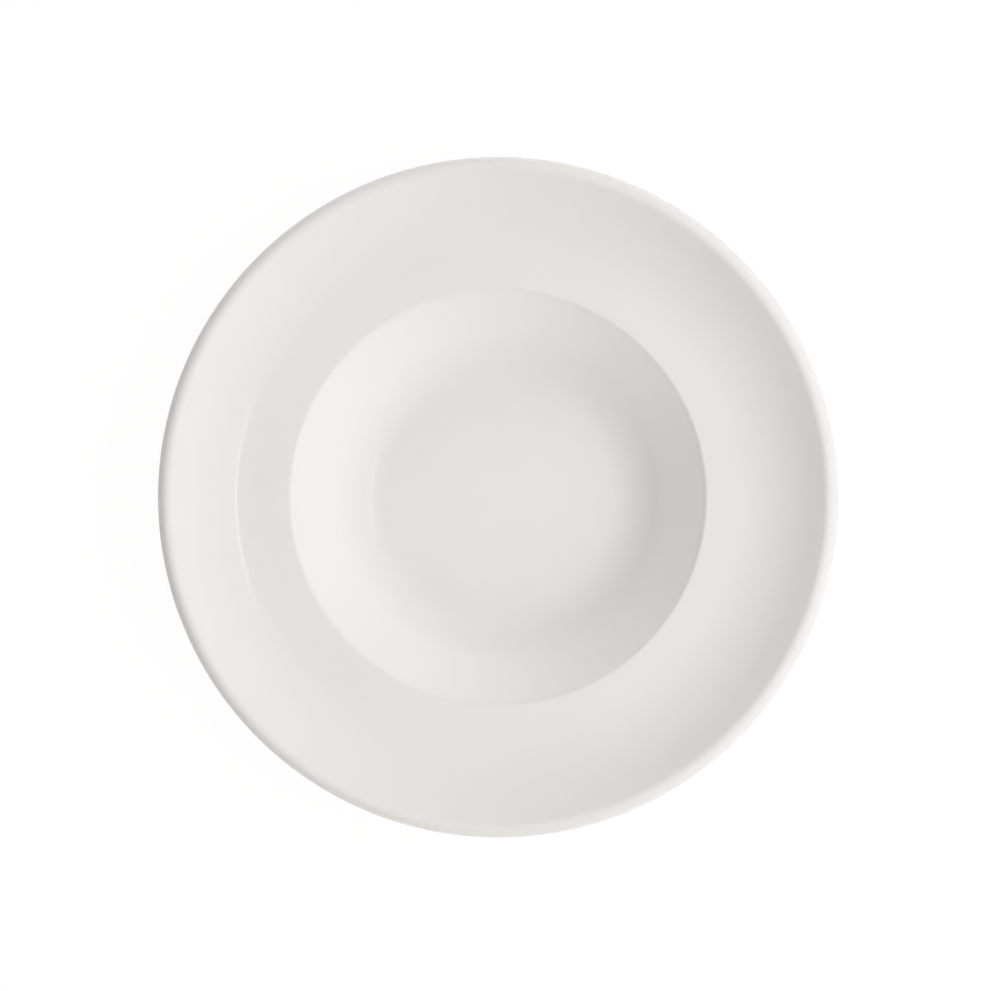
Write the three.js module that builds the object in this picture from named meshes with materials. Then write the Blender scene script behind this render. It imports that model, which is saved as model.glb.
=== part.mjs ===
// Deep plate: a white porcelain body under a fired glaze, with a wide rim that sweeps up and a deep well.
// Millimetres, +Z up. The origin is the centre of the foot ring, on the plane that the plate stands on.

import * as THREE from "three";

// Rim
const PLATE_DIAMETER = 270; // over the glaze
const WELL_DIAMETER = 166.6; // across the crest, where the rim turns down into the well
const RISE_WIDTH = 22.4; // from the edge in to the bend where the rim starts to rise
const BAND_RISE_DEG = 1.5; // slope of the nearly level inner band, outwards from the crest
const RIM_RISE_DEG = 35; // slope of the rim where it reaches the lip
const BEND_RADIUS = 50; // the dish between the inner band and the rise

// Well
const WELL_DEPTH = 23; // crest to the middle of the floor
const WALL_SLOPE_DEG = 45;
const WELL_FILLET = 26; // round from the floor up to the wall
const CREST_RADIUS = 1.6;
const CROWN_DIAMETER = 32; // level middle of the floor, from which it falls outwards
const FLOOR_FALL_DEG = 3.2;
const CROWN_ROUND = 500; // radius that blends the level middle into the fall

// Thickness of the clay
const RIM_THICKNESS = 6;
const WALL_THICKNESS = 5;
const FLOOR_THICKNESS = 5.4;
const LIP_TOP_RADIUS = 3.4;
const LIP_UNDER_RADIUS = 1;
const UNDER_CREST_RADIUS = 12;
const HEEL_RADIUS = 14;

// Foot ring
const FOOT_INSET = 7.5; // from the heel's corner in to the ring
const FOOT_HEIGHT = 3.2; // table to the underside beside the ring
const FOOT_WIDTH = 5; // at the table
const FOOT_DRAFT_DEG = 12; // lean of each side of the ring
const FOOT_ROOT_RADIUS = 1.2;
const FOOT_EDGE_RADIUS = 1;

// Glaze
const GLAZE_THICKNESS = 0.3;
const BOND_GAP = 0.02; // between the clay and the glass, so that the two solids stay apart
const BARE_FOOT = 1.5; // height of the foot that is wiped clean of glaze

// Facets
const TURN_STEPS = 48; // round the axis
const CHORD_ERROR = 0.2; // of an arc in the outline
const MIN_ARC_STEPS = 2;
const STRAIGHT_SHARE = 0.02; // least part of a side that stays straight between two rounds

const rad = THREE.MathUtils.degToRad;

/** A straight line in the (radius, height) plane: a point on it and its heading, with the air on its left. */
function line(radius, height, headingDeg) {
  const heading = new THREE.Vector2(Math.cos(rad(headingDeg)), Math.sin(rad(headingDeg)));
  return { point: new THREE.Vector2(radius, height), heading };
}

/** The line on the other face of a wall: moved into the clay by its thickness, and heading back. */
function otherFace(face, thickness) {
  const intoClay = new THREE.Vector2(face.heading.y, -face.heading.x);
  return {
    point: face.point.clone().addScaledVector(intoClay, thickness),
    heading: face.heading.clone().negate(),
  };
}

/** Where two lines cross. */
function meet(a, b) {
  const along = b.point.clone().sub(a.point).cross(b.heading) / a.heading.cross(b.heading);
  return a.point.clone().addScaledVector(a.heading, along);
}

/** Where a line stands at a radius. */
function atRadius(a, radius) {
  return a.point.clone().addScaledVector(a.heading, (radius - a.point.x) / a.heading.x);
}

/** Where a line stands at a height. */
function atHeight(a, height) {
  return a.point.clone().addScaledVector(a.heading, (height - a.point.y) / a.heading.y);
}

/** Direction from one corner to the next. */
function towards(from, to) {
  return to.point.clone().sub(from.point).normalize();
}

/** Signed turn at corner i of an outline: positive to the left, which is a hollow corner. */
function turnAt(corners, i) {
  const before = towards(corners[i - 1], corners[i]);
  const after = towards(corners[i], corners[i + 1]);
  return Math.atan2(before.cross(after), before.dot(after));
}

/** Gives each round its arc steps, and the largest radius up to its own that its two sides have room for. */
function fitted(corners) {
  const last = corners.length - 1;
  const inner = (i) => i > 0 && i < last;
  const reach = (i) => corners[i].radius * Math.tan(Math.abs(turnAt(corners, i)) / 2);
  const tangent = corners.map((c, i) => (inner(i) ? reach(i) : 0));
  const room = corners.slice(1).map((c, i) => {
    const side = c.point.distanceTo(corners[i].point) * (1 - STRAIGHT_SHARE);
    return Math.min(1, side / Math.max(tangent[i] + tangent[i + 1], Number.EPSILON));
  });
  return corners.map((c, i) => {
    if (!inner(i) || c.radius === 0) return { ...c, steps: 0 };
    const radius = c.radius * Math.min(room[i - 1], room[i]);
    const step = 2 * Math.acos(1 - Math.min(CHORD_ERROR / radius, 1));
    return { ...c, radius, steps: Math.max(MIN_ARC_STEPS, Math.ceil(Math.abs(turnAt(corners, i)) / step)) };
  });
}

/** The outline moved out into the air by a distance, with the same arcs about the same centres. */
function grown(corners, distance) {
  const last = corners.length - 1;
  return corners.map((c, i) => {
    const before = towards(corners[Math.max(i - 1, 0)], corners[Math.max(i, 1)]);
    const after = towards(corners[Math.min(i, last - 1)], corners[Math.min(i + 1, last)]);
    const reach = new THREE.Vector2(-before.y - after.y, before.x + after.x);
    const point = c.point.clone().addScaledVector(reach, distance / (1 + before.dot(after)));
    const hollow = before.cross(after) > 0 ? -1 : 1;
    return { ...c, point, radius: c.steps ? c.radius + hollow * distance : 0 };
  });
}

/** The points of an outline, with an arc at each rounded corner. */
function traced(corners) {
  return corners.flatMap((c, i) => {
    if (!c.steps) return [c.point];
    const turn = turnAt(corners, i);
    const before = towards(corners[i - 1], c);
    const side = Math.sign(turn);
    const start = c.point.clone().addScaledVector(before, -c.radius * Math.tan(Math.abs(turn) / 2));
    const centre = start.clone().add(new THREE.Vector2(-before.y, before.x).multiplyScalar(side * c.radius));
    const from = Math.atan2(start.y - centre.y, start.x - centre.x);
    return new THREE.EllipseCurve(centre.x, centre.y, c.radius, c.radius, from, from + turn, turn < 0)
      .getPoints(c.steps);
  });
}

/** A solid of revolution about +Z from a profile that runs with the air on its left. */
function turned(name, profile, finish) {
  const geometry = new THREE.LatheGeometry(profile.toReversed(), TURN_STEPS);
  geometry.rotateX(Math.PI / 2);
  const mesh = new THREE.Mesh(geometry, new THREE.MeshStandardMaterial(finish));
  mesh.name = name;
  return mesh;
}

// Lines of the clay body, from the floor out over the rim and back underneath.
// Heights count from the middle of the floor.
const clayRadius = PLATE_DIAMETER / 2 - GLAZE_THICKNESS - BOND_GAP;
const floor = line(0, 0, 0);
const fall = line(CROWN_DIAMETER / 2, 0, -FLOOR_FALL_DEG);
const wall = line(WELL_DIAMETER / 2, WELL_DEPTH, WALL_SLOPE_DEG);
const band = line(WELL_DIAMETER / 2, WELL_DEPTH, BAND_RISE_DEG);
const bend = atRadius(band, PLATE_DIAMETER / 2 - RISE_WIDTH);
const rise = line(bend.x, bend.y, RIM_RISE_DEG);
const edge = line(clayRadius, bend.y, -90);
const underRise = otherFace(rise, RIM_THICKNESS);
const underBand = otherFace(band, RIM_THICKNESS);
const outerWall = otherFace(wall, WALL_THICKNESS);
const underFall = otherFace(fall, FLOOR_THICKNESS);
const underside = otherFace(floor, FLOOR_THICKNESS);
const heel = meet(outerWall, underFall);
const footTop = atRadius(underFall, heel.x - FOOT_INSET);
const tableHeight = footTop.y - FOOT_HEIGHT;
const glazeLineHeight = tableHeight + BARE_FOOT;
const table = line(0, tableHeight, 180);
const footOuterSide = line(footTop.x, footTop.y, -90 - FOOT_DRAFT_DEG);
const footOuterEdge = meet(footOuterSide, table);
const footInnerSide = line(footOuterEdge.x - FOOT_WIDTH, tableHeight, 90 + FOOT_DRAFT_DEG);

// Corners of the clay body. The two glaze lines on the foot are corners with no turn, where the glass ends.
const corners = fitted([
  { name: "floor centre", point: atRadius(floor, 0), radius: 0 },
  { name: "crown", point: meet(floor, fall), radius: CROWN_ROUND },
  { name: "well fillet", point: meet(fall, wall), radius: WELL_FILLET },
  { name: "crest", point: meet(wall, band), radius: CREST_RADIUS },
  { name: "bend", point: bend, radius: BEND_RADIUS },
  { name: "lip top", point: meet(rise, edge), radius: LIP_TOP_RADIUS },
  { name: "lip underside", point: meet(edge, underRise), radius: LIP_UNDER_RADIUS },
  { name: "under bend", point: meet(underRise, underBand), radius: BEND_RADIUS + RIM_THICKNESS },
  { name: "under crest", point: meet(underBand, outerWall), radius: UNDER_CREST_RADIUS },
  { name: "heel", point: heel, radius: HEEL_RADIUS },
  { name: "foot outer root", point: footTop, radius: FOOT_ROOT_RADIUS },
  { name: "outer glaze line", point: atHeight(footOuterSide, glazeLineHeight), radius: 0 },
  { name: "foot outer edge", point: footOuterEdge, radius: FOOT_EDGE_RADIUS },
  { name: "foot inner edge", point: meet(table, footInnerSide), radius: FOOT_EDGE_RADIUS },
  { name: "inner glaze line", point: atHeight(footInnerSide, glazeLineHeight), radius: 0 },
  { name: "foot inner root", point: meet(footInnerSide, underFall), radius: FOOT_ROOT_RADIUS },
  { name: "under crown", point: meet(underFall, underside), radius: CROWN_ROUND - FLOOR_THICKNESS },
  { name: "underside centre", point: atRadius(underside, 0), radius: 0 },
]);
const outerGlazeLine = corners.findIndex((c) => c.name === "outer glaze line");
const innerGlazeLine = corners.findIndex((c) => c.name === "inner glaze line");

/** The profile of a glaze skin over a stretch of the clay's outline that has one end on the axis. */
function skin(stretch) {
  const outside = traced(grown(stretch, BOND_GAP + GLAZE_THICKNESS));
  const inside = traced(grown(stretch, BOND_GAP)).reverse();
  const startsOnAxis = stretch[0].point.x === 0;
  return startsOnAxis ? [...outside, ...inside] : [...inside, ...outside];
}

const biscuit = { color: "#e3dfd6", roughness: 0.75, metalness: 0 };
const glaze = { color: "#ebeae6", roughness: 0.08, metalness: 0 };

const plate = new THREE.Group();
plate.position.z = -tableHeight;
plate.add(turned("porcelain_body", traced(corners), biscuit));
plate.add(turned("glaze_coat", skin(corners.slice(0, outerGlazeLine + 1)), glaze));
plate.add(turned("foot_well_glaze", skin(corners.slice(innerGlazeLine)), glaze));

export default plate;
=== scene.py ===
"""Deep plate of white glazed porcelain: fine surfaces, finishes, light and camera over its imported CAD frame.

Sizes are written in millimetres and degrees, as the maker's drawing has them. Meshes are made in metres in the frame
of the CAD model: +Z up, with the origin at the centre of the foot ring, on the plane that the plate stands on.
"""

import logging
import math
from dataclasses import dataclass, replace
from enum import Enum
from typing import Any, Self

import bmesh
import bpy
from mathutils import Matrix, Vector

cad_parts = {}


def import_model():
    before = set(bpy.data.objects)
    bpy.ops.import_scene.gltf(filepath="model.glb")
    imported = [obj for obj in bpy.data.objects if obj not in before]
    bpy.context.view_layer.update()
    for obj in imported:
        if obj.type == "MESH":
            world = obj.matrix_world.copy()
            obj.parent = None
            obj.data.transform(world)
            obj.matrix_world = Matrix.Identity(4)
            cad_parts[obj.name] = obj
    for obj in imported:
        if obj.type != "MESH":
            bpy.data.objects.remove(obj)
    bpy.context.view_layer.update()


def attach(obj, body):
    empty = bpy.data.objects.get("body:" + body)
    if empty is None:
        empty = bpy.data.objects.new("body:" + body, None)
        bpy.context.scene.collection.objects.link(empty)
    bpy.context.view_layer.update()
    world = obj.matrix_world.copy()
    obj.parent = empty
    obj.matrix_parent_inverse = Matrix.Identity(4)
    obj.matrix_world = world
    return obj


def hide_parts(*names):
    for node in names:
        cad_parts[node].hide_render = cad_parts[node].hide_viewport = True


LOG = logging.getLogger("deep_plate")
MM = 0.001
NOISE_MIDDLE = 0.5  # middle tone of a noise
BODY = "root"

Colour = tuple[float, float, float]
WHITE: Colour = (1.0, 1.0, 1.0)


class Place(Enum):
    """The corners of the clay's outline, in travel order from the floor over the rim and back underneath."""

    FLOOR_CENTRE = "floor centre"
    CROWN = "crown"
    WELL_FILLET = "well fillet"
    CREST = "crest"
    BEND = "bend"
    LIP_TOP = "lip top"
    LIP_UNDERSIDE = "lip underside"
    UNDER_BEND = "under bend"
    UNDER_CREST = "under crest"
    HEEL = "heel"
    FOOT_OUTER_ROOT = "foot outer root"
    OUTER_GLAZE_LINE = "outer glaze line"
    FOOT_OUTER_EDGE = "foot outer edge"
    FOOT_INNER_EDGE = "foot inner edge"
    INNER_GLAZE_LINE = "inner glaze line"
    FOOT_INNER_ROOT = "foot inner root"
    UNDER_CROWN = "under crown"
    UNDERSIDE_CENTRE = "underside centre"


class Slot(Enum):
    """The record's material slots."""

    BISCUIT = "biscuit"
    GLAZE = "glaze"


class Side(Enum):
    """A level direction from the plate into its surroundings."""

    FRONT = (0.0, -1.0, 0.0)
    BACK = (0.0, 1.0, 0.0)


class Facing(Enum):
    """The way that a studio lamp throws its light."""

    DOWN = (0.0, 0.0, -1.0)
    TO_LEFT = (-1.0, 0.0, 0.0)
    TO_BACK = (0.0, 1.0, 0.0)
    TO_FRONT = (0.0, -1.0, 0.0)


@dataclass(frozen=True)
class Line:
    """A straight line in the plane of radius and height, with the air on its left."""

    point: Vector
    heading: Vector

    @classmethod
    def at(cls, radius: float, height: float, heading_deg: float) -> Self:
        """A line through a point, at an angle to the level outward direction."""
        angle = math.radians(heading_deg)
        return cls(Vector((radius, height)), Vector((math.cos(angle), math.sin(angle))))

    def other_face(self, thickness: float) -> Self:
        """The line on the other face of a wall: moved into the clay by its thickness, and heading back."""
        into_clay = Vector((self.heading.y, -self.heading.x))
        return Line(self.point + into_clay * thickness, -self.heading)

    def meet(self, other: Self) -> Vector:
        """Where this line crosses another."""
        along = (other.point - self.point).cross(other.heading) / self.heading.cross(other.heading)
        return self.point + self.heading * along

    def at_radius(self, radius: float) -> Vector:
        """Where this line stands at a radius."""
        return self.point + self.heading * ((radius - self.point.x) / self.heading.x)

    def at_height(self, height: float) -> Vector:
        """Where this line stands at a height."""
        return self.point + self.heading * ((height - self.point.y) / self.heading.y)


@dataclass(frozen=True)
class Corner:
    """A corner of an outline, with the radius that rounds it."""

    place: Place
    point: Vector
    radius: float = 0.0


@dataclass(frozen=True)
class Outline:
    """A chain of corners that runs with the air on its left."""

    corners: tuple[Corner, ...]
    straight_share: float = 0.02  # least part of a side that stays straight between two rounds

    def heading(self, side: int) -> Vector:
        """The direction of a side, counted from the first corner; past either end it is that of the end side."""
        side = min(max(side, 0), len(self.corners) - 2)
        return (self.corners[side + 1].point - self.corners[side].point).normalized()

    def turn(self, index: int) -> float:
        """The signed turn at a corner, positive to the left, which is a hollow corner.

        Args:
            index: the corner's number.

        Returns:
            The turn in radians.
        """
        before = self.heading(index - 1)
        after = self.heading(index)
        return math.atan2(before.cross(after), before.dot(after))

    def reach(self, index: int) -> float:
        """The length that the round at a corner takes from each of its sides."""
        return self.corners[index].radius * math.tan(abs(self.turn(index)) / 2)

    def room(self, side: int) -> float:
        """The share of their radii that the two rounds on a side have room for.

        Args:
            side: the side's number, counted from the first corner.

        Returns:
            A factor of 1 or less.
        """
        length = (self.corners[side + 1].point - self.corners[side].point).length
        wanted = self.reach(side) + self.reach(side + 1)
        free = length * (1 - self.straight_share)
        return 1.0 if wanted <= free else free / wanted

    def fitted(self) -> Self:
        """Cuts each radius to what the corner's two sides have room for.

        Returns:
            The outline with the radii that fit.
        """
        last = len(self.corners) - 1
        shares = [min(self.room(max(i - 1, 0)), self.room(min(i, last - 1))) for i in range(last + 1)]
        fits = tuple(replace(c, radius=c.radius * share) for c, share in zip(self.corners, shares))
        return Outline(fits, self.straight_share)

    def grown(self, distance: float) -> Self:
        """The outline moved out into the air, with the same arcs about the same centres.

        Args:
            distance: how far it moves, square to itself.

        Returns:
            The new outline.
        """
        moved = []
        for index, corner in enumerate(self.corners):
            before = self.heading(index - 1)
            after = self.heading(index)
            reach = Vector((-before.y - after.y, before.x + after.x)) / (1 + before.dot(after))
            hollow = -1 if before.cross(after) > 0 else 1
            radius = corner.radius + hollow * distance if corner.radius else 0.0
            moved.append(replace(corner, point=corner.point + reach * distance, radius=radius))
        return Outline(tuple(moved), self.straight_share)

    def between(self, first: Place, last: Place) -> Self:
        """The stretch of the outline from one corner to another, both included."""
        places = [corner.place for corner in self.corners]
        return Outline(self.corners[places.index(first):places.index(last) + 1], self.straight_share)

    def reversed(self) -> Self:
        """The same chain drawn the other way."""
        return Outline(self.corners[::-1], self.straight_share)


@dataclass(frozen=True)
class PlateShape:
    """The plate's driving sizes, and the outline of the clay that follows from them."""

    plate_diameter: float = 270.0  # over the glaze
    well_diameter: float = 166.6  # across the crest, where the rim turns down into the well
    rise_width: float = 22.4  # from the edge in to the bend where the rim starts to rise
    band_rise_deg: float = 1.5
    rim_rise_deg: float = 35.0
    bend_radius: float = 50.0
    well_depth: float = 23.0  # crest to the middle of the floor
    wall_slope_deg: float = 45.0
    well_fillet: float = 26.0
    crest_radius: float = 1.6
    crown_diameter: float = 32.0  # level middle of the floor, from which it falls outwards
    floor_fall_deg: float = 3.2
    crown_round: float = 500.0
    rim_thickness: float = 6.0
    wall_thickness: float = 5.0
    floor_thickness: float = 5.4
    lip_top_radius: float = 3.4
    lip_under_radius: float = 1.0
    under_crest_radius: float = 12.0
    heel_radius: float = 14.0
    foot_inset: float = 7.5  # from the heel's corner in to the ring
    foot_height: float = 3.2
    foot_width: float = 5.0
    foot_draft_deg: float = 12.0
    foot_root_radius: float = 1.2
    foot_edge_radius: float = 1.0
    glaze_thickness: float = 0.3
    bond_gap: float = 0.02  # between the clay and the glass
    bare_foot: float = 1.5  # height of the foot that is wiped clean of glaze

    def clay(self) -> Outline:
        """Works out the outline of the clay body from the lines of its faces.

        Returns:
            The outline in millimetres, standing on height 0.
        """
        floor = Line.at(0, 0, 0)
        fall = Line.at(self.crown_diameter / 2, 0, -self.floor_fall_deg)
        wall = Line.at(self.well_diameter / 2, self.well_depth, self.wall_slope_deg)
        band = Line.at(self.well_diameter / 2, self.well_depth, self.band_rise_deg)
        bend = band.at_radius(self.plate_diameter / 2 - self.rise_width)
        rise = Line.at(bend.x, bend.y, self.rim_rise_deg)
        edge = Line.at(self.plate_diameter / 2 - self.glaze_thickness - self.bond_gap, bend.y, -90)
        under_rise = rise.other_face(self.rim_thickness)
        under_band = band.other_face(self.rim_thickness)
        outer_wall = wall.other_face(self.wall_thickness)
        under_fall = fall.other_face(self.floor_thickness)
        underside = floor.other_face(self.floor_thickness)
        heel = outer_wall.meet(under_fall)
        foot_top = under_fall.at_radius(heel.x - self.foot_inset)
        table_height = foot_top.y - self.foot_height
        table = Line.at(0, table_height, 180)
        glaze_line = table_height + self.bare_foot
        foot_outer = Line.at(foot_top.x, foot_top.y, -90 - self.foot_draft_deg)
        foot_outer_edge = foot_outer.meet(table)
        foot_inner = Line.at(foot_outer_edge.x - self.foot_width, table_height, 90 + self.foot_draft_deg)
        corners = (
            Corner(Place.FLOOR_CENTRE, floor.at_radius(0)),
            Corner(Place.CROWN, floor.meet(fall), self.crown_round),
            Corner(Place.WELL_FILLET, fall.meet(wall), self.well_fillet),
            Corner(Place.CREST, wall.meet(band), self.crest_radius),
            Corner(Place.BEND, bend, self.bend_radius),
            Corner(Place.LIP_TOP, rise.meet(edge), self.lip_top_radius),
            Corner(Place.LIP_UNDERSIDE, edge.meet(under_rise), self.lip_under_radius),
            Corner(Place.UNDER_BEND, under_rise.meet(under_band), self.bend_radius + self.rim_thickness),
            Corner(Place.UNDER_CREST, under_band.meet(outer_wall), self.under_crest_radius),
            Corner(Place.HEEL, heel, self.heel_radius),
            Corner(Place.FOOT_OUTER_ROOT, foot_top, self.foot_root_radius),
            Corner(Place.OUTER_GLAZE_LINE, foot_outer.at_height(glaze_line)),
            Corner(Place.FOOT_OUTER_EDGE, foot_outer_edge, self.foot_edge_radius),
            Corner(Place.FOOT_INNER_EDGE, table.meet(foot_inner), self.foot_edge_radius),
            Corner(Place.INNER_GLAZE_LINE, foot_inner.at_height(glaze_line)),
            Corner(Place.FOOT_INNER_ROOT, foot_inner.meet(under_fall), self.foot_root_radius),
            Corner(Place.UNDER_CROWN, under_fall.meet(underside), self.crown_round - self.floor_thickness),
            Corner(Place.UNDERSIDE_CENTRE, underside.at_radius(0)),
        )
        lift = Vector((0, -table_height))
        return Outline(tuple(replace(c, point=c.point + lift) for c in corners)).fitted()

    def glaze_outside(self) -> Outline:
        """The outline of the glaze's open surface, as if it ran over the foot too."""
        return self.clay().grown(self.bond_gap + self.glaze_thickness)

    def glaze_inside(self) -> Outline:
        """The outline of the glaze's face towards the clay."""
        return self.clay().grown(self.bond_gap)


@dataclass(frozen=True)
class Fineness:
    """How finely a surface is drawn."""

    chord_error: float  # of an arc in the outline, in millimetres
    longest_straight: float  # of one edge along a straight stretch, in millimetres

    LEAST_STEPS = 2

    def steps(self, radius: float, turn: float) -> int:
        """The number of edges for an arc.

        Args:
            radius: the arc's radius in millimetres.
            turn: its angle in radians.

        Returns:
            The number, which is never below the least.
        """
        step = 2 * math.acos(1 - min(self.chord_error / radius, 1))
        return max(self.LEAST_STEPS, math.ceil(abs(turn) / step))


OPEN_SURFACE = Fineness(chord_error=0.0012, longest_straight=2.5)
HIDDEN_SURFACE = Fineness(chord_error=0.005, longest_straight=25.0)


class Pen:
    """Draws a profile as a chain of edges in the XZ plane of a bmesh, and turns it about the axis."""

    ROUND_STEPS = 192
    WELD = 0.001 * MM

    def __init__(self, start: Vector) -> None:
        """Puts the tip of the pen down on a point of the plane of radius and height."""
        self.mesh = bmesh.new()
        self.tip = self.mesh.verts.new(self.in_metres(start))

    @staticmethod
    def in_metres(point: Vector) -> Vector:
        """A point of the plane of radius and height, in millimetres, as a place in the model."""
        return Vector((point.x, 0, point.y)) * MM

    def position(self) -> Vector:
        """Where the tip is, in the plane of radius and height, in millimetres."""
        return Vector((self.tip.co.x, self.tip.co.z)) / MM

    def line_to(self, end: Vector, fineness: Fineness) -> None:
        """Pulls the tip straight to a point, in short pulls of equal length.

        Args:
            end: the point, in the plane of radius and height.
            fineness: how long a pull may be.
        """
        start = self.position()
        pulls = max(1, math.ceil((end - start).length / fineness.longest_straight))
        for pull in range(1, pulls + 1):
            self.tip = bmesh.ops.extrude_vert_indiv(self.mesh, verts=[self.tip])["verts"][0]
            self.tip.co = self.in_metres(start.lerp(end, pull / pulls))

    def arc(self, centre: Vector, turn: float, steps: int) -> None:
        """Swings the tip about a centre.

        Args:
            centre: the arc's centre, in the plane of radius and height.
            turn: its angle in radians, positive to the left.
            steps: the number of its edges.
        """
        swept = bmesh.ops.spin(
            self.mesh, geom=[self.tip], cent=self.in_metres(centre), axis=(0, -1, 0), dvec=(0, 0, 0),
            angle=turn, steps=steps, use_duplicate=False,
        )
        self.tip = next(item for item in swept["geom_last"] if isinstance(item, bmesh.types.BMVert))

    def follow(self, outline: Outline, fineness: Fineness) -> None:
        """Draws an outline from where the tip is, with an arc at each rounded corner.

        Args:
            outline: the outline to draw; its first corner is where the tip is already.
            fineness: how finely arcs and straights are divided.
        """
        for index, corner in enumerate(outline.corners[1:], start=1):
            if corner.radius == 0:
                self.line_to(corner.point, fineness)
                continue
            turn = outline.turn(index)
            before = outline.heading(index - 1)
            start = corner.point - before * outline.reach(index)
            towards_centre = Vector((-before.y, before.x)) * math.copysign(corner.radius, turn)
            self.line_to(start, fineness)
            self.arc(start + towards_centre, turn, fineness.steps(corner.radius, turn))

    def turned(self, name: str) -> bpy.types.Object:
        """Turns the profile once round the axis into a closed, smooth piece.

        Args:
            name: the piece's name.

        Returns:
            The new object, at the origin, linked to the scene.
        """
        profile = self.mesh.verts[:] + self.mesh.edges[:]
        bmesh.ops.spin(
            self.mesh, geom=profile, cent=(0, 0, 0), axis=(0, 0, 1), dvec=(0, 0, 0),
            angle=math.tau, steps=self.ROUND_STEPS, use_merge=True, use_duplicate=False,
        )
        bmesh.ops.remove_doubles(self.mesh, verts=self.mesh.verts[:], dist=self.WELD)
        bmesh.ops.recalc_face_normals(self.mesh, faces=self.mesh.faces[:])
        data = bpy.data.meshes.new(name)
        self.mesh.to_mesh(data)
        self.mesh.free()
        data.shade_smooth()
        piece = bpy.data.objects.new(name, data)
        bpy.context.scene.collection.objects.link(piece)
        return piece


class Signal:
    """A shader value: one output socket, on which Python arithmetic adds Math nodes."""

    def __init__(self, graph: "Graph", socket: bpy.types.NodeSocket) -> None:
        """Wraps an output socket of a graph."""
        self.graph = graph
        self.socket = socket

    def math(self, operation: str, *others: "Signal | float") -> "Signal":
        """The result of a Math node with this value first."""
        return self.graph.math(operation, self, *others)

    def __add__(self, other: "Signal | float") -> "Signal":
        """This value plus another."""
        return self.math("ADD", other)

    __radd__ = __add__

    def __sub__(self, other: "Signal | float") -> "Signal":
        """This value less another."""
        return self.math("SUBTRACT", other)

    def __rsub__(self, other: float) -> "Signal":
        """A number less this value."""
        return self.graph.math("SUBTRACT", other, self)

    def __mul__(self, other: "Signal | float") -> "Signal":
        """This value times another."""
        return self.math("MULTIPLY", other)

    __rmul__ = __mul__

    def __truediv__(self, other: "Signal | float") -> "Signal":
        """This value over another."""
        return self.math("DIVIDE", other)

    def __rtruediv__(self, other: float) -> "Signal":
        """A number over this value."""
        return self.graph.math("DIVIDE", other, self)

    def __abs__(self) -> "Signal":
        """This value without its sign."""
        return self.math("ABSOLUTE")


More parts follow.
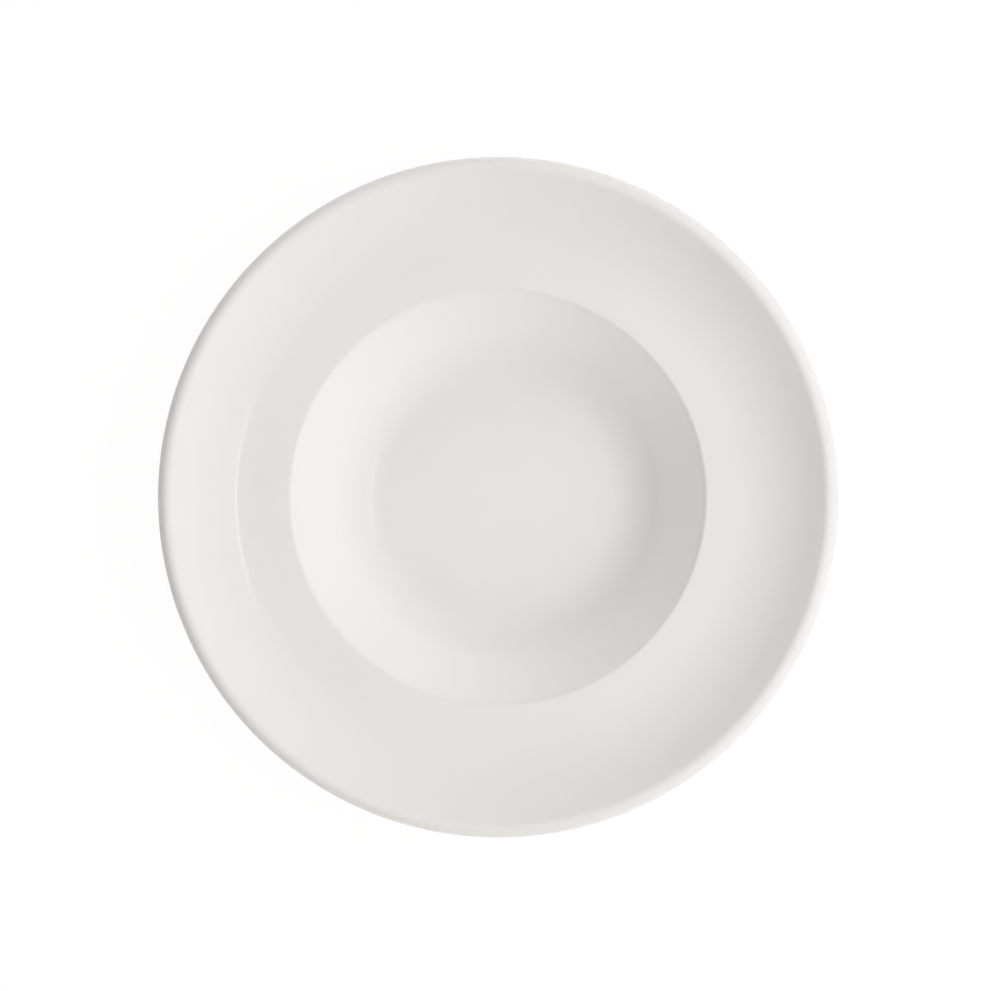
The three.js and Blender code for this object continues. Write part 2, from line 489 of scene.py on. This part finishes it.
class Graph:
    """The nodes of one material or world, all added by one method."""

    COLOUR_FACTOR = 0  # socket numbers of a Mix node that is set to colours
    COLOUR_A = 6
    COLOUR_B = 7
    COLOUR_RESULT = 2

    def __init__(self, tree: bpy.types.NodeTree) -> None:
        """Starts from an empty node tree."""
        self.tree = tree
        self.tree.nodes.clear()

    def add(self, kind: str, settings: dict[str, Any], inputs: dict[str | int, Any]) -> bpy.types.Node:
        """Adds a node.

        Args:
            kind: the node's type.
            settings: the node's own settings, set before its sockets.
            inputs: a number, a tuple or a Signal for each socket, by name or number.

        Returns:
            The new node.
        """
        node = self.tree.nodes.new(kind)
        for name, value in settings.items():
            setattr(node, name, value)
        for key, value in inputs.items():
            if isinstance(value, Signal):
                self.tree.links.new(value.socket, node.inputs[key])
            else:
                node.inputs[key].default_value = value
        return node

    def signal(self, node: bpy.types.Node, output: str | int = 0) -> Signal:
        """One output of a node as a value."""
        return Signal(self, node.outputs[output])

    def math(self, operation: str, *operands: Signal | float) -> Signal:
        """The result of a Math node."""
        return self.signal(self.add("ShaderNodeMath", {"operation": operation}, dict(enumerate(operands))))

    def place(self) -> Signal:
        """The point of the surface in the piece's own frame, in metres; in a world, the direction of the ray."""
        return self.signal(self.add("ShaderNodeTexCoord", {}, {}), "Object")

    def axes(self, vector: Signal) -> tuple[Signal, Signal, Signal]:
        """The three parts of a vector."""
        parts = self.add("ShaderNodeSeparateXYZ", {}, {"Vector": vector})
        return self.signal(parts, "X"), self.signal(parts, "Y"), self.signal(parts, "Z")

    def dot(self, vector: Signal, other: tuple[float, float, float]) -> Signal:
        """The length of a vector along another."""
        node = self.add("ShaderNodeVectorMath", {"operation": "DOT_PRODUCT"}, {0: vector, 1: other})
        return self.signal(node, "Value")

    def noise(self, place: Signal, size: float, detail: float = 2.0) -> Signal:
        """Soft random tone from 0 to 1.

        Args:
            place: where on the surface.
            size: the size of its patches in millimetres.
            detail: how much finer tone is laid over them.

        Returns:
            The tone.
        """
        inputs = {"Vector": place, "Scale": 1 / (size * MM), "Detail": detail}
        return self.signal(self.add("ShaderNodeTexNoise", {"noise_dimensions": "3D"}, inputs))

    def ramp(self, value: Signal, low: float, high: float) -> Signal:
        """A smooth step from 0 at low to 1 at high; with high below low it falls instead."""
        inputs = {"Value": value, "From Min": low, "From Max": high, "To Min": 0.0, "To Max": 1.0}
        return self.signal(self.add("ShaderNodeMapRange", {"interpolation_type": "SMOOTHSTEP"}, inputs))

    def mix(self, factor: Signal | float, a: Signal | Colour, b: Signal | Colour) -> Signal:
        """A colour between two others.

        Args:
            factor: 0 for the first and 1 for the second.
            a: the first colour.
            b: the second colour.

        Returns:
            The mixed colour.
        """
        sockets = {
            self.COLOUR_FACTOR: factor,
            self.COLOUR_A: a if isinstance(a, Signal) else (*a, 1.0),
            self.COLOUR_B: b if isinstance(b, Signal) else (*b, 1.0),
        }
        return self.signal(self.add("ShaderNodeMix", {"data_type": "RGBA"}, sockets), self.COLOUR_RESULT)

    def bump(self, height: Signal, depth: float) -> Signal:
        """A normal tilted by a height from 0 to 1 that stands for a depth in millimetres."""
        return self.signal(self.add("ShaderNodeBump", {}, {"Height": height, "Distance": depth * MM}))

    def seen(self) -> Signal:
        """Tells rays that show a surface from rays that only light.

        Returns:
            1 for a ray from the camera, off a gloss or through glass, and 0 for any other.
        """
        path = self.add("ShaderNodeLightPath", {}, {})
        direct = self.math("MAXIMUM", self.signal(path, "Is Camera Ray"), self.signal(path, "Is Glossy Ray"))
        return self.math("MAXIMUM", direct, self.signal(path, "Is Transmission Ray"))

    def straight(self) -> Signal:
        """1 for a ray straight from the camera, and 0 for any other."""
        return self.signal(self.add("ShaderNodeLightPath", {}, {}), "Is Camera Ray")

    def behind(self) -> Signal:
        """1 on the back of a face, and 0 on its front."""
        return self.signal(self.add("ShaderNodeNewGeometry", {}, {}), "Backfacing")

    def blend(self, factor: Signal, a: bpy.types.Node, b: bpy.types.Node) -> bpy.types.Node:
        """A shader that goes from one at factor 0 to another at 1."""
        return self.add("ShaderNodeMixShader", {}, {0: factor, 1: self.signal(a), 2: self.signal(b)})


@dataclass(frozen=True)
class GlazeFinish:
    """Smooth clear gloss over white porcelain, a touch warmer where it thins and cooler where it pools."""

    shape: PlateShape
    name: str = "white_glaze"
    colour: Colour = (0.914, 0.910, 0.907)
    thin_colour: Colour = (0.896, 0.878, 0.855)
    pooled_colour: Colour = (0.909, 0.910, 0.908)
    tone_colour: Colour = (0.904, 0.899, 0.894)
    roughness: float = 0.045
    roughness_range: float = 0.03
    ior: float = 1.5
    crest_band: float = 1.6  # width over which the glaze thins beside the crest
    crest_depth: tuple[float, float] = (3.2, 1.6)  # below the crest, between which it starts to thin
    thin_share: float = 0.6
    pool_band: float = 14.0  # width over which it pools beside the well's fillet
    pool_height: float = 6.5  # over the fillet's corner, up to which the pool is full
    tone_patch: float = 38.0
    tone_range: tuple[float, float] = (0.35, 0.75)
    wear_patch: float = 16.0
    wear_detail: float = 3.0
    ripple_size: float = 15.0
    ripple_depth: float = 0.0025
    peel_size: float = 2.2
    peel_share: float = 0.06

    def material(self) -> bpy.types.Material:
        """Builds the finish.

        Returns:
            The glaze's material.
        """
        material = bpy.data.materials.new(self.name)
        material.use_nodes = True
        graph = Graph(material.node_tree)
        place = graph.place()
        x, y, z = graph.axes(place)
        radius = (x * x + y * y).math("SQRT")
        outline = {corner.place: corner.point * MM for corner in self.shape.glaze_outside().corners}
        crest = outline[Place.CREST]
        lip = outline[Place.LIP_TOP]
        fillet = outline[Place.WELL_FILLET]
        near_crest = graph.ramp(abs(radius - crest.x), self.crest_band * MM, 0.0)
        on_lip = graph.ramp(radius, lip.x - self.shape.lip_top_radius * MM, lip.x)
        above = graph.ramp(z, *(crest.y - depth * MM for depth in self.crest_depth))
        thin = (near_crest * above).math("MAXIMUM", on_lip)
        below = graph.ramp(z, crest.y, fillet.y + self.pool_height * MM)
        pooled = graph.ramp(abs(radius - fillet.x), self.pool_band * MM, 0.0) * below
        tone = graph.ramp(graph.noise(place, self.tone_patch), *self.tone_range)
        wear = graph.noise(place, self.wear_patch, self.wear_detail)
        toned = graph.mix(tone, self.colour, self.tone_colour)
        cooled = graph.mix(pooled, toned, self.pooled_colour)
        base = graph.mix(thin * self.thin_share, cooled, self.thin_colour)
        ripple = graph.noise(place, self.ripple_size, detail=0.0)
        peel = graph.noise(place, self.peel_size, detail=0.0)
        height = ripple + peel * self.peel_share
        gloss = graph.add(
            "ShaderNodeBsdfPrincipled", {},
            {
                "Base Color": base,
                "Roughness": self.roughness + (wear - NOISE_MIDDLE) * self.roughness_range,
                "IOR": self.ior,
                "Normal": graph.bump(height, self.ripple_depth),
            },
        )
        graph.add("ShaderNodeOutputMaterial", {}, {"Surface": graph.signal(gloss)})
        return material


@dataclass(frozen=True)
class BiscuitFinish:
    """Bare fired porcelain: matt and fine-grained, with grey rub marks where it meets shelves and tables."""

    shape: PlateShape
    name: str = "bare_biscuit"
    colour: Colour = (0.790, 0.765, 0.705)
    dark_colour: Colour = (0.715, 0.680, 0.610)
    rub_colour: Colour = (0.520, 0.505, 0.480)
    roughness: float = 0.78
    rubbed_roughness: float = 0.52
    mottle_patch: float = 6.0
    mottle_detail: float = 4.0
    mottle_range: tuple[float, float] = (0.4, 0.7)
    mottle_share: float = 0.6
    grain_size: float = 0.35
    grain_detail: float = 3.0
    grain_depth: float = 0.02
    rub_height: float = 0.25  # of the foot's edge that shelves and tables touch
    rub_patch: float = 2.5
    rub_detail: float = 5.0
    rub_range: tuple[float, float] = (0.48, 0.72)
    rub_share: float = 0.55

    def material(self) -> bpy.types.Material:
        """Builds the finish.

        Returns:
            The biscuit's material.
        """
        material = bpy.data.materials.new(self.name)
        material.use_nodes = True
        graph = Graph(material.node_tree)
        place = graph.place()
        _, _, z = graph.axes(place)
        mottle = graph.ramp(graph.noise(place, self.mottle_patch, self.mottle_detail), *self.mottle_range)
        contact = graph.ramp(z, self.rub_height * MM, 0.0)
        rub = contact * graph.ramp(graph.noise(place, self.rub_patch, self.rub_detail), *self.rub_range)
        clay = graph.mix(mottle * self.mottle_share, self.colour, self.dark_colour)
        base = graph.mix(rub * self.rub_share, clay, self.rub_colour)
        grain = graph.noise(place, self.grain_size, self.grain_detail)
        matt = graph.add(
            "ShaderNodeBsdfPrincipled", {},
            {
                "Base Color": base,
                "Roughness": self.roughness - contact * (self.roughness - self.rubbed_roughness),
                "Normal": graph.bump(grain, self.grain_depth),
            },
        )
        graph.add("ShaderNodeOutputMaterial", {}, {"Surface": graph.signal(matt)})
        return material


@dataclass(frozen=True)
class TurnedPiece:
    """A turned piece of the plate that stands for one CAD node."""

    shape: PlateShape
    node: str
    slot: Slot

    def draw(self) -> Pen:
        """Draws the piece's profile, from the axis out and back to the axis."""
        raise NotImplementedError

    def build(self, material: bpy.types.Material) -> bpy.types.Object:
        """Turns, dresses and places the piece.

        Args:
            material: the finish that it gets.

        Returns:
            The finished piece.
        """
        piece = self.draw().turned(self.node + "_surface")
        piece.data.materials.append(material)
        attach(piece, BODY)
        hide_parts(self.node)
        piece.data.calc_loop_triangles()
        LOG.info("%s: %d triangles in %s", piece.name, len(piece.data.loop_triangles), material.name)
        return piece


@dataclass(frozen=True)
class PorcelainBody(TurnedPiece):
    """The fired clay body, which shows on the wiped band of the foot ring."""

    def draw(self) -> Pen:
        """Draws the whole outline of the clay.

        Returns:
            The pen, with the whole profile drawn.
        """
        clay = self.shape.clay()
        pen = Pen(clay.corners[0].point)
        pen.follow(clay, HIDDEN_SURFACE)
        return pen


@dataclass(frozen=True)
class GlazeSkin(TurnedPiece):
    """A skin of glaze over a stretch of the clay, with a rounded end at its glaze line on the foot."""

    first: Place
    last: Place

    END_STEPS = 8

    def draw(self) -> Pen:
        """Draws one face of the skin out from the axis, its rounded end, and the other face back.

        Returns:
            The pen, with the whole profile drawn.
        """
        outside = self.shape.glaze_outside().between(self.first, self.last)
        inside = self.shape.glaze_inside().between(self.first, self.last)
        if self.first is Place.FLOOR_CENTRE:
            out, back = (outside, OPEN_SURFACE), (inside.reversed(), HIDDEN_SURFACE)
        else:
            out, back = (inside.reversed(), HIDDEN_SURFACE), (outside, OPEN_SURFACE)
        pen = Pen(out[0].corners[0].point)
        pen.follow(*out)
        pen.arc((out[0].corners[-1].point + back[0].corners[0].point) / 2, -math.pi, self.END_STEPS)
        pen.follow(*back)
        return pen


@dataclass(frozen=True)
class DeepPlate:
    """The whole plate: the clay body and the two skins of glaze that its bare foot ring parts."""

    shape: PlateShape = PlateShape()

    def build(self) -> None:
        """Builds and dresses the three pieces."""
        glaze = GlazeFinish(self.shape).material()
        biscuit = BiscuitFinish(self.shape).material()
        PorcelainBody(self.shape, "porcelain_body", Slot.BISCUIT).build(biscuit)
        coat = (Place.FLOOR_CENTRE, Place.OUTER_GLAZE_LINE)
        GlazeSkin(self.shape, "glaze_coat", Slot.GLAZE, *coat).build(glaze)
        foot_well = (Place.INNER_GLAZE_LINE, Place.UNDERSIDE_CENTRE)
        GlazeSkin(self.shape, "foot_well_glaze", Slot.GLAZE, *foot_well).build(glaze)


@dataclass(frozen=True)
class Sweep:
    """A round table top that curves up into a low wall: white to the eye, with a faint shadow, and clear from below."""

    radius: float = 6000.0
    cove_radius: float = 420.0  # where the top curves up into the wall
    wall_top: float = 520.0
    drop: float = 0.1  # below the foot, so that the two faces don't fight
    colour: Colour = (0.80, 0.80, 0.79)
    glow: float = 0.93  # white that the eye sees, before the light that falls on it
    shadow_colour: Colour = (0.10, 0.10, 0.10)  # share of the light that is seen, and so of the shadow
    fineness: Fineness = Fineness(chord_error=2.0, longest_straight=600.0)

    def material(self) -> bpy.types.Material:
        """Builds the sweep's finish.

        Returns:
            The material.
        """
        material = bpy.data.materials.new("white_sweep")
        material.use_nodes = True
        graph = Graph(material.node_tree)
        lit = graph.add("ShaderNodeBsdfDiffuse", {}, {"Color": (*self.colour, 1.0)})
        shadow = graph.add("ShaderNodeBsdfDiffuse", {}, {"Color": (*self.shadow_colour, 1.0)})
        white = graph.add("ShaderNodeEmission", {}, {"Color": (*WHITE, 1.0), "Strength": self.glow})
        look = graph.add("ShaderNodeAddShader", {}, {0: graph.signal(white), 1: graph.signal(shadow)})
        clear = graph.add("ShaderNodeBsdfTransparent", {}, {})
        from_above = graph.blend(graph.seen(), lit, look)
        surface = graph.blend(graph.straight() * graph.behind(), from_above, clear)
        graph.add("ShaderNodeOutputMaterial", {}, {"Surface": graph.signal(surface)})
        return material

    def build(self) -> bpy.types.Object:
        """Lays the sweep under the foot ring.

        Returns:
            The sweep.
        """
        flat_end = Vector((self.radius - self.cove_radius, -self.drop))
        turn = math.pi / 2
        pen = Pen(Vector((0, -self.drop)))
        pen.line_to(flat_end, self.fineness)
        pen.arc(flat_end + Vector((0, self.cove_radius)), turn, self.fineness.steps(self.cove_radius, turn))
        pen.line_to(Vector((self.radius, self.wall_top)), self.fineness)
        sweep = pen.turned("white_sweep")
        sweep.data.flip_normals()  # the open bowl comes out of the turning with its faces down
        sweep.data.materials.append(self.material())
        return sweep


@dataclass(frozen=True)
class Panel:
    """A flat soft lamp of even brightness, hidden from the gloss so that its outline doesn't show in the glaze."""

    name: str
    centre: tuple[float, float, float]
    size: tuple[float, float]
    facing: Facing
    radiance: float  # 1 is the brightness of white paper in full light

    def build(self) -> bpy.types.Object:
        """Hangs the lamp.

        Returns:
            The lamp, out of the camera's sight.
        """
        width, height = (side * MM for side in self.size)
        data = bpy.data.lights.new(self.name, "AREA")
        data.shape = "RECTANGLE"
        data.size = width
        data.size_y = height
        data.energy = math.pi * width * height * self.radiance
        lamp = bpy.data.objects.new(self.name, data)
        lamp.location = Vector(self.centre) * MM
        lamp.rotation_euler = Vector(self.facing.value).to_track_quat("-Z", "Y").to_euler()
        lamp.visible_camera = False
        lamp.visible_glossy = False
        bpy.context.scene.collection.objects.link(lamp)
        return lamp


@dataclass(frozen=True)
class Glow:
    """A soft-edged belt of light on one side of the sky. Heights are sines of the angle over the horizon."""

    side: Side
    radiance: float
    starts: float
    full_from: float
    full_to: float
    ends: float
    full_side: float = 0.8  # share of the way to its side from which it is full

    def level(self, graph: Graph, direction: Signal) -> Signal:
        """The brightness of the glow in a direction of the sky.

        Args:
            graph: the world's nodes.
            direction: the direction, of length 1.

        Returns:
            The brightness.
        """
        _, _, height = graph.axes(direction)
        facing = graph.ramp(graph.dot(direction, self.side.value), 0.0, self.full_side)
        rise = graph.ramp(height, self.starts, self.full_from)
        return facing * rise * graph.ramp(height, self.ends, self.full_to) * self.radiance


@dataclass(frozen=True)
class Skylight:
    """A broad bright part of the sky on the right. Its near edge is straight, with a brighter border at its middle.

    Places on it are measured on a level ceiling, as shares of the ceiling's height.
    """

    radiance: float = 0.3
    near_edge: float = 0.25  # to the right of the point overhead
    edge_blur: float = 0.006
    horizon: tuple[float, float] = (0.03, 0.3)  # heights between which it fades in, as sines of the angle
    ends: tuple[float, float] = (0.85, 0.3)  # shares of the way to front or back between which it fades in
    border_radiance: float = 0.45
    border_width: float = 0.35
    line_radiance: float = 2.0
    line_width: float = 0.04
    border_ends: tuple[float, float] = (0.18, 0.03)  # to front or back
    lowest: float = 0.02  # least height at which a place on the ceiling is worked out

    def level(self, graph: Graph, direction: Signal) -> Signal:
        """The brightness of the skylight in a direction of the sky.

        Args:
            graph: the world's nodes.
            direction: the direction, of length 1.

        Returns:
            The brightness.
        """
        x, y, z = graph.axes(direction)
        height = z.math("MAXIMUM", self.lowest)
        inside = x / height - self.near_edge
        past_edge = graph.ramp(inside, 0.0, self.edge_blur)
        middle = graph.ramp(abs(y / height), *self.border_ends)
        broad = graph.ramp(z, *self.horizon) * graph.ramp(abs(y), *self.ends) * self.radiance
        border = graph.ramp(inside, self.border_width, 0.0) * self.border_radiance
        line = graph.ramp(inside, self.line_width, self.line_width - self.edge_blur) * self.line_radiance
        return past_edge * (broad + middle * (border + line))


@dataclass(frozen=True)
class Studio:
    """Soft lamps over the right side, in front, behind and above, in a dim warm room with a skylight on the right."""

    panels: tuple[Panel, ...] = (
        Panel("key_lamp", (800.0, 0.0, 1000.0), (1200.0, 1400.0), Facing.DOWN, 0.80),
        Panel("right_back_lamp", (900.0, 900.0, 900.0), (600.0, 600.0), Facing.DOWN, 2.15),
        Panel("right_front_lamp", (900.0, -900.0, 900.0), (600.0, 600.0), Facing.DOWN, 2.50),
        Panel("right_sheet", (1400.0, 0.0, 650.0), (2000.0, 700.0), Facing.TO_LEFT, 0.66),
        Panel("back_sheet", (0.0, 1200.0, 650.0), (2000.0, 700.0), Facing.TO_FRONT, 1.12),
        Panel("front_sheet", (0.0, -1200.0, 650.0), (2000.0, 700.0), Facing.TO_BACK, 1.06),
        Panel("overhead_strip", (0.0, 0.0, 1500.0), (260.0, 2000.0), Facing.DOWN, 3.50),
    )
    glows: tuple[Glow, ...] = (
        Glow(Side.FRONT, radiance=0.188, starts=0.15, full_from=0.45, full_to=0.6, ends=0.95),
        Glow(Side.FRONT, radiance=0.284, starts=0.03, full_from=0.12, full_to=0.25, ends=0.5),
        Glow(Side.BACK, radiance=0.472, starts=0.03, full_from=0.12, full_to=0.25, ends=0.5),
    )
    skylight: Skylight = Skylight()
    fill: Colour = (0.110, 0.092, 0.078)  # light from every side
    backdrop: float = 0.97  # white that the eye sees past the sweep

    def build_world(self) -> None:
        """Sets the surroundings: the weak even light, the glows and the skylight, and plain white to the eye."""
        world = bpy.data.worlds.new("studio")
        world.use_nodes = True
        bpy.context.scene.world = world
        graph = Graph(world.node_tree)
        direction = graph.place()
        level = sum((glow.level(graph, direction) for glow in self.glows), self.skylight.level(graph, direction))
        room = graph.add("ShaderNodeBackground", {}, {"Color": (*self.fill, 1.0)})
        bright = graph.add("ShaderNodeBackground", {}, {"Color": level})
        both = graph.add("ShaderNodeAddShader", {}, {0: graph.signal(room), 1: graph.signal(bright)})
        white = graph.add("ShaderNodeBackground", {}, {"Color": (*WHITE, 1.0), "Strength": self.backdrop})
        surroundings = graph.blend(graph.straight(), both, white)
        graph.add("ShaderNodeOutputWorld", {}, {"Surface": graph.signal(surroundings)})

    def build(self) -> None:
        """Sets the world and hangs every lamp."""
        self.build_world()
        for panel in self.panels:
            panel.build()
        LOG.info("studio: %d lamps", len(self.panels))


@dataclass(frozen=True)
class Viewpoint:
    """The photograph's camera: straight above the plate, with the plate a little left of and below the middle."""

    shape: PlateShape
    distance: float = 1300.0  # from the plate's widest circle
    image_width: int = 1000  # pixels
    plate_width: float = 680.0  # pixels across the plate
    left_of_middle: float = 1.8  # pixels
    below_middle: float = 1.75  # pixels
    sensor: float = 36.0

    def build(self) -> bpy.types.Object:
        """Makes the scene's camera.

        Returns:
            The camera.
        """
        lip = {corner.place: corner.point for corner in self.shape.glaze_outside().corners}[Place.LIP_UNDERSIDE]
        pixel = self.shape.plate_diameter / self.plate_width
        data = bpy.data.cameras.new("camera")
        data.sensor_fit = "HORIZONTAL"
        data.sensor_width = self.sensor
        data.lens = self.sensor * self.distance / (self.image_width * pixel)
        camera = bpy.data.objects.new("camera", data)
        middle = Vector((self.left_of_middle * pixel, self.below_middle * pixel, lip.y + self.distance))
        camera.location = middle * MM
        bpy.context.scene.collection.objects.link(camera)
        bpy.context.scene.camera = camera
        return camera


def main() -> None:
    """Builds the plate over its frame, then the studio round it."""
    logging.basicConfig(level=logging.INFO, format="%(name)s: %(message)s")
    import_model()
    plate = DeepPlate()
    plate.build()
    Sweep().build()
    Studio().build()
    Viewpoint(plate.shape).build()
    bpy.context.scene.view_settings.view_transform = "Standard"


if __name__ == "__main__":
    main()
